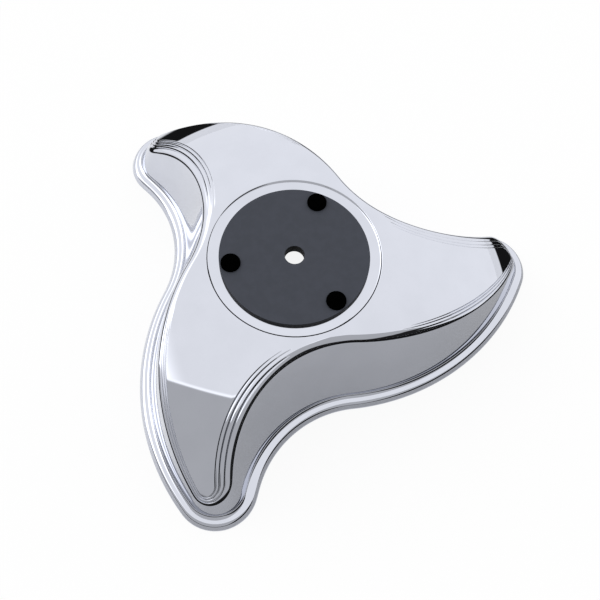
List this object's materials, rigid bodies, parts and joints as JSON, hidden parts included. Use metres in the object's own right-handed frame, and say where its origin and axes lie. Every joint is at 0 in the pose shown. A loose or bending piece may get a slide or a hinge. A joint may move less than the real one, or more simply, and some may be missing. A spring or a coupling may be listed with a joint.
{
  "type": "hubcap",
  "caption": "Swirl-bladed chrome truck wheel cover with an open back, a stepped rim round a domed face and a dark round centre plate with a hole for the centre bolt.",
  "frame": {"origin": "on the wheel's axis, in the plane of the foot that rests against the wheel", "axes": "+Z out of the wheel along its axis, towards the viewer; one blade tip lies 14 degrees from +X towards +Y"},
  "size_m": [0.2063, 0.2099, 0.0506],
  "materials": {
    "chrome_skin": "mirror-bright chrome plating on moulded plastic",
    "plate_plastic": "matt dark grey, moulded",
    "rivet_plastic": "matt black, moulded"
  },
  "bodies": {
    "root": {"cover": "chrome_skin", "centre_plate": "plate_plastic", "push_rivets": "rivet_plastic"}
  },
  "joints": []
}
